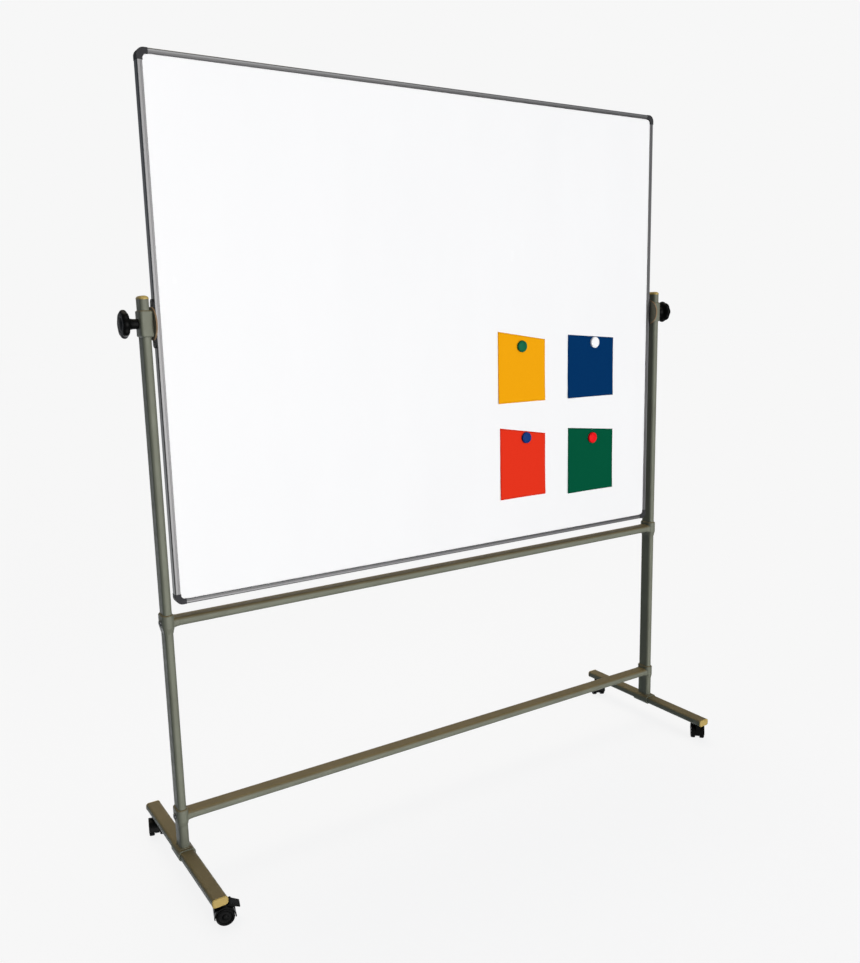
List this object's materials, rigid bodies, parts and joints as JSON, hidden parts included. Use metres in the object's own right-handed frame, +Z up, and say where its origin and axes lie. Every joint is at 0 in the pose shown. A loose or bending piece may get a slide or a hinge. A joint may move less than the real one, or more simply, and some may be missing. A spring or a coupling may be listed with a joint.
{
  "type": "revolving whiteboard",
  "caption": "Two-sided whiteboard that turns over between two posts on a wheeled flat-tube stand, locked by side star knobs, with magnets and paper notes on the front.",
  "frame": {"origin": "on the floor, under the middle of the stand", "axes": "+X along the board to the right seen from the front, +Y to the rear through the board, +Z up; the side with the notes looks along -Y"},
  "size_m": [1.648, 0.5045, 1.869],
  "materials": {
    "stand_paint": "satin",
    "frame_aluminium": "satin",
    "corner_plastic": "satin",
    "white_enamel": "gloss",
    "panel_core": "matte",
    "pivot_black_steel": "satin",
    "zinc_steel": "satin",
    "friction_disc": "satin",
    "brass": "satin",
    "cap_plastic": "satin",
    "bush_plastic": "matte",
    "black_plastic": "satin",
    "caster_plastic": "satin",
    "wheel_black": "satin",
    "paper_yellow": "matte",
    "paper_blue": "matte",
    "paper_red": "matte",
    "paper_green": "matte",
    "magnet_green": "gloss",
    "magnet_white": "gloss",
    "magnet_blue": "gloss",
    "magnet_red": "gloss"
  },
  "bodies": {
    "stand": {"post_left": "stand_paint", "post_right": "stand_paint", "post_caps": "cap_plastic", "upper_crossbar": "stand_paint", "lower_crossbar": "stand_paint", "upper_tee_left": "stand_paint", "upper_tee_right": "stand_paint", "foot_socket_left": "stand_paint", "foot_socket_right": "stand_paint", "foot_left": "stand_paint", "foot_right": "stand_paint", "foot_end_caps": "cap_plastic", "foot_saddles": "stand_paint", "clamp_bracket_left": "stand_paint", "clamp_bracket_right": "stand_paint", "pivot_bushes": "bush_plastic", "stand_bolts": "zinc_steel", "caster_stems": "zinc_steel"},
    "board": {"board_core": "panel_core", "front_sheet": "white_enamel", "rear_sheet": "white_enamel", "frame_rail_top": "frame_aluminium", "frame_rail_bottom": "frame_aluminium", "frame_rail_left": "frame_aluminium", "frame_rail_right": "frame_aluminium", "corner_cap_top_left": "corner_plastic", "corner_cap_top_right": "corner_plastic", "corner_cap_bottom_left": "corner_plastic", "corner_cap_bottom_right": "corner_plastic", "pivot_plate_left": "pivot_black_steel", "pivot_plate_right": "pivot_black_steel", "plate_rivets": "zinc_steel", "pivot_studs": "zinc_steel", "friction_discs": "friction_disc", "note_yellow": "paper_yellow", "note_blue": "paper_blue", "note_red": "paper_red", "note_green": "paper_green", "magnet_green": "magnet_green", "magnet_white": "magnet_white", "magnet_blue": "magnet_blue", "magnet_red": "magnet_red"},
    "knob_left": {"knob_left": "black_plastic", "knob_insert_left": "brass"},
    "knob_right": {"knob_right": "black_plastic", "knob_insert_right": "brass"},
    "caster_front_left": {"caster_housing_front_left": "caster_plastic"},
    "wheels_front_left": {"caster_wheels_front_left": "wheel_black", "caster_axle_front_left": "zinc_steel"},
    "caster_front_right": {"caster_housing_front_right": "caster_plastic"},
    "wheels_front_right": {"caster_wheels_front_right": "wheel_black", "caster_axle_front_right": "zinc_steel"},
    "caster_rear_left": {"caster_housing_rear_left": "caster_plastic"},
    "wheels_rear_left": {"caster_wheels_rear_left": "wheel_black", "caster_axle_rear_left": "zinc_steel"},
    "caster_rear_right": {"caster_housing_rear_right": "caster_plastic"},
    "wheels_rear_right": {"caster_wheels_rear_right": "wheel_black", "caster_axle_rear_right": "zinc_steel"},
    "pedal_front_left": {"brake_pedal_front_left": "caster_plastic"},
    "pedal_front_right": {"brake_pedal_front_right": "caster_plastic"}
  },
  "joints": [
    {"name": "board_pivot", "type": "hinge", "parent": "stand", "child": "board", "pos_m": [0, 0, 1.305], "axis": [1, 0, 0], "continuous": true},
    {"name": "knob_left_turn", "type": "hinge", "parent": "board", "child": "knob_left", "pos_m": [-0.8125, 0, 1.305], "axis": [-1, 0, 0], "range_deg": [0, 360]},
    {"name": "knob_right_turn", "type": "hinge", "parent": "board", "child": "knob_right", "pos_m": [0.8125, 0, 1.305], "axis": [1, 0, 0], "range_deg": [0, 360]},
    {"name": "swivel_front_left", "type": "hinge", "parent": "stand", "child": "caster_front_left", "pos_m": [-0.772, -0.225, 0.045], "axis": [0, 0, 1], "continuous": true},
    {"name": "wheel_front_left", "type": "hinge", "parent": "caster_front_left", "child": "wheels_front_left", "pos_m": [-0.75751, -0.22888, 0.021], "axis": [0.2588, 0.9659, 0], "continuous": true},
    {"name": "swivel_front_right", "type": "hinge", "parent": "stand", "child": "caster_front_right", "pos_m": [0.772, -0.225, 0.045], "axis": [0, 0, 1], "continuous": true},
    {"name": "wheel_front_right", "type": "hinge", "parent": "caster_front_right", "child": "wheels_front_right", "pos_m": [0.78261, -0.21439, 0.021], "axis": [-0.7071, 0.7071, 0], "continuous": true},
    {"name": "swivel_rear_left", "type": "hinge", "parent": "stand", "child": "caster_rear_left", "pos_m": [-0.772, 0.225, 0.045], "axis": [0, 0, 1], "continuous": true},
    {"name": "wheel_rear_left", "type": "hinge", "parent": "caster_rear_left", "child": "wheels_rear_left", "pos_m": [-0.77588, 0.21051, 0.021], "axis": [0.9659, -0.2588, 0], "continuous": true},
    {"name": "swivel_rear_right", "type": "hinge", "parent": "stand", "child": "caster_rear_right", "pos_m": [0.772, 0.225, 0.045], "axis": [0, 0, 1], "continuous": true},
    {"name": "wheel_rear_right", "type": "hinge", "parent": "caster_rear_right", "child": "wheels_rear_right", "pos_m": [0.7645, 0.21201, 0.021], "axis": [0.866, -0.5, 0], "continuous": true},
    {"name": "brake_front_left", "type": "hinge", "parent": "caster_front_left", "child": "pedal_front_left", "pos_m": [-0.74527, -0.23216, 0.04484], "axis": [0.2588, 0.9659, 0], "range_deg": [0, 18]},
    {"name": "brake_front_right", "type": "hinge", "parent": "caster_front_right", "child": "pedal_front_right", "pos_m": [0.79157, -0.20543, 0.04484], "axis": [-0.7071, 0.7071, 0], "range_deg": [0, 18]}
  ]
}
